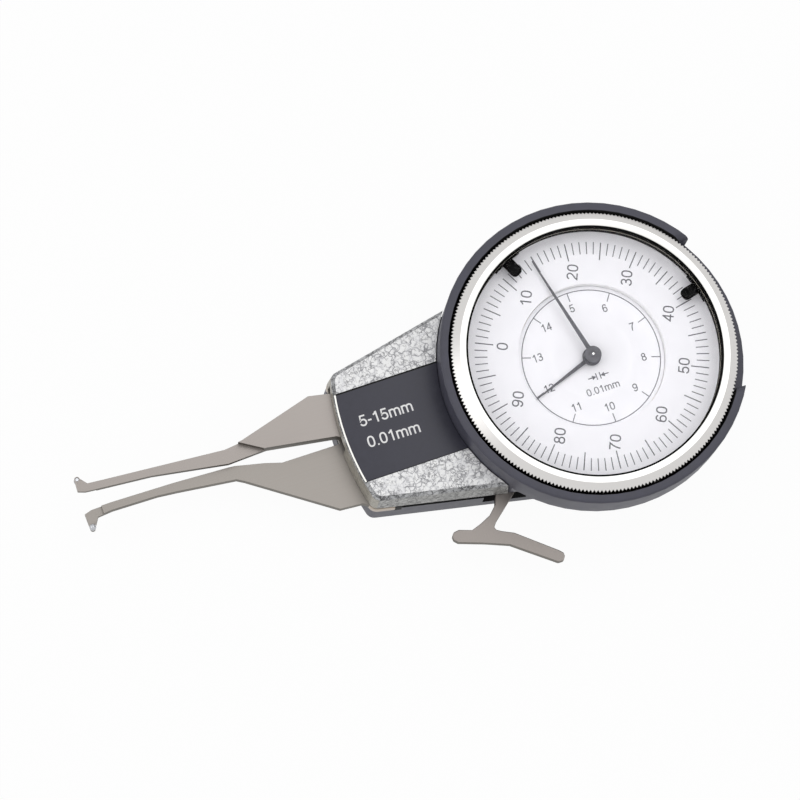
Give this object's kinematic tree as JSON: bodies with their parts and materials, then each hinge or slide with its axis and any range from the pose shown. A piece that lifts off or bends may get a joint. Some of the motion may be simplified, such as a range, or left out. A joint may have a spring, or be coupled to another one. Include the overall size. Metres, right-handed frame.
{
  "type": "internal caliper gauge",
  "caption": "Dial caliper gauge for bores: two thin sprung arms with ball contacts, a finger lever, a wedge housing and a round dial with turning bezel, long and short hands and limit markers.",
  "frame": {"origin": "where the dial axis meets the plane of the back cover", "axes": "+Z out of the dial, towards the reader; the measuring arms point along -X; the finger lever is at -Y"},
  "size_m": [0.146, 0.0717, 0.0233],
  "materials": {
    "cast_body": "dark grey enamel on a light alloy casting",
    "hammer_silver": "silver hammer-finish enamel",
    "label_grey": "smooth dark grey enamel",
    "satin_steel": "satin ground steel",
    "turned_silver": "turned and polished",
    "clear_window": "clear",
    "seal_black": "black, matte",
    "marker_black": "black",
    "dial_white": "white dial enamel",
    "hand_grey": "dark grey",
    "hard_metal": "hard, lapped",
    "brass": "plain",
    "spring_steel": "plain"
  },
  "bodies": {
    "case": {"case_body": "cast_body", "back_cover": "cast_body", "back_cover_screw_1": "spring_steel", "back_cover_screw_2": "spring_steel", "back_cover_screw_3": "spring_steel", "back_cover_screw_4": "spring_steel", "bezel_spring": "spring_steel", "cover_screw_1": "spring_steel", "cover_screw_2": "spring_steel", "fixed_arm": "satin_steel", "fixed_arm_dowel_1": "hard_metal", "fixed_arm_dowel_2": "hard_metal", "fixed_arm_screw_1": "spring_steel", "fixed_arm_screw_2": "spring_steel", "fixed_contact": "hard_metal", "front_cover": "hammer_silver", "hair_spring": "spring_steel", "hair_spring_stud": "brass", "inner_dial": "dial_white", "label_plate": "label_grey", "movement_base_plate": "brass", "movement_pillar_1": "satin_steel", "movement_pillar_2": "satin_steel", "movement_pillar_3": "satin_steel", "movement_pillar_4": "satin_steel", "movement_top_plate": "brass", "pillar_screw_1": "spring_steel", "pillar_screw_2": "spring_steel", "pillar_screw_3": "spring_steel", "pillar_screw_4": "spring_steel", "pivot_pin": "hard_metal", "pivot_washer": "brass", "return_spring": "spring_steel", "spring_post": "spring_steel"},
    "moving_arm_body": {"moving_arm": "satin_steel", "moving_contact": "hard_metal", "pivot_bush": "brass", "arm_lever": "satin_steel", "lever_rivet_1": "spring_steel", "lever_rivet_2": "spring_steel", "sector_gear": "brass", "sector_screw_1": "spring_steel", "sector_screw_2": "spring_steel"},
    "first_spindle": {"first_arbor": "spring_steel", "first_wheel": "brass"},
    "second_spindle": {"second_arbor": "spring_steel", "second_wheel": "brass"},
    "centre_spindle": {"centre_arbor": "spring_steel", "long_hand": "hand_grey"},
    "hour_spindle": {"hour_wheel": "brass", "short_hand": "hand_grey"},
    "take_up_spindle": {"take_up_wheel": "brass"},
    "bezel_body": {"bezel": "turned_silver", "crystal": "clear_window", "crystal_gasket": "seal_black", "outer_dial": "dial_white"},
    "low_marker_body": {"limit_marker_low": "marker_black"},
    "high_marker_body": {"limit_marker_high": "marker_black"}
  },
  "joints": [
    {"name": "arm_hinge", "type": "hinge", "parent": "case", "child": "moving_arm_body", "pos_m": [-0.042, 0, 0], "axis": [0, 0, -1], "range_deg": [-5.7, 2.48], "stiffness_Nm_per_rad": 0.3, "springref_deg": 11.46, "deforming": ["return_spring"]},
    {"name": "first_wheel_turn", "type": "hinge", "parent": "case", "child": "first_spindle", "pos_m": [-0.0098, 0, 0], "axis": [0, 0, -1], "range_deg": [-137.36, 60.11]},
    {"name": "second_wheel_turn", "type": "hinge", "parent": "case", "child": "second_spindle", "pos_m": [-0.00385, 0.00406, 0], "axis": [0, 0, -1], "range_deg": [-298.54, 684.78]},
    {"name": "long_hand_turn", "type": "hinge", "parent": "case", "child": "centre_spindle", "pos_m": [0, 0, 0], "axis": [0, 0, -1], "range_deg": [-2509.53, 1093.3]},
    {"name": "short_hand_turn", "type": "hinge", "parent": "case", "child": "hour_spindle", "pos_m": [0, 0, 0], "axis": [0, 0, -1], "range_deg": [-251.4, 109.78]},
    {"name": "take_up_turn", "type": "hinge", "parent": "case", "child": "take_up_spindle", "pos_m": [0.00344, -0.00491, 0], "axis": [0, 0, -1], "range_deg": [-273.7, 627.76]},
    {"name": "bezel_turn", "type": "hinge", "parent": "case", "child": "bezel_body", "pos_m": [0, 0, 0], "axis": [0, 0, -1], "continuous": true},
    {"name": "low_marker_slide", "type": "hinge", "parent": "bezel_body", "child": "low_marker_body", "pos_m": [0, 0, 0], "axis": [0, 0, -1], "range_deg": [-40, 40]},
    {"name": "high_marker_slide", "type": "hinge", "parent": "bezel_body", "child": "high_marker_body", "pos_m": [0, 0, 0], "axis": [0, 0, -1], "range_deg": [-40, 40]}
  ],
  "couplings": [
    {"joint": "first_wheel_turn", "follows": "arm_hinge", "ratio": 24},
    {"joint": "second_wheel_turn", "follows": "arm_hinge", "ratio": -120},
    {"joint": "long_hand_turn", "follows": "arm_hinge", "ratio": 440},
    {"joint": "short_hand_turn", "follows": "arm_hinge", "ratio": 44},
    {"joint": "take_up_turn", "follows": "arm_hinge", "ratio": -110}
  ]
}
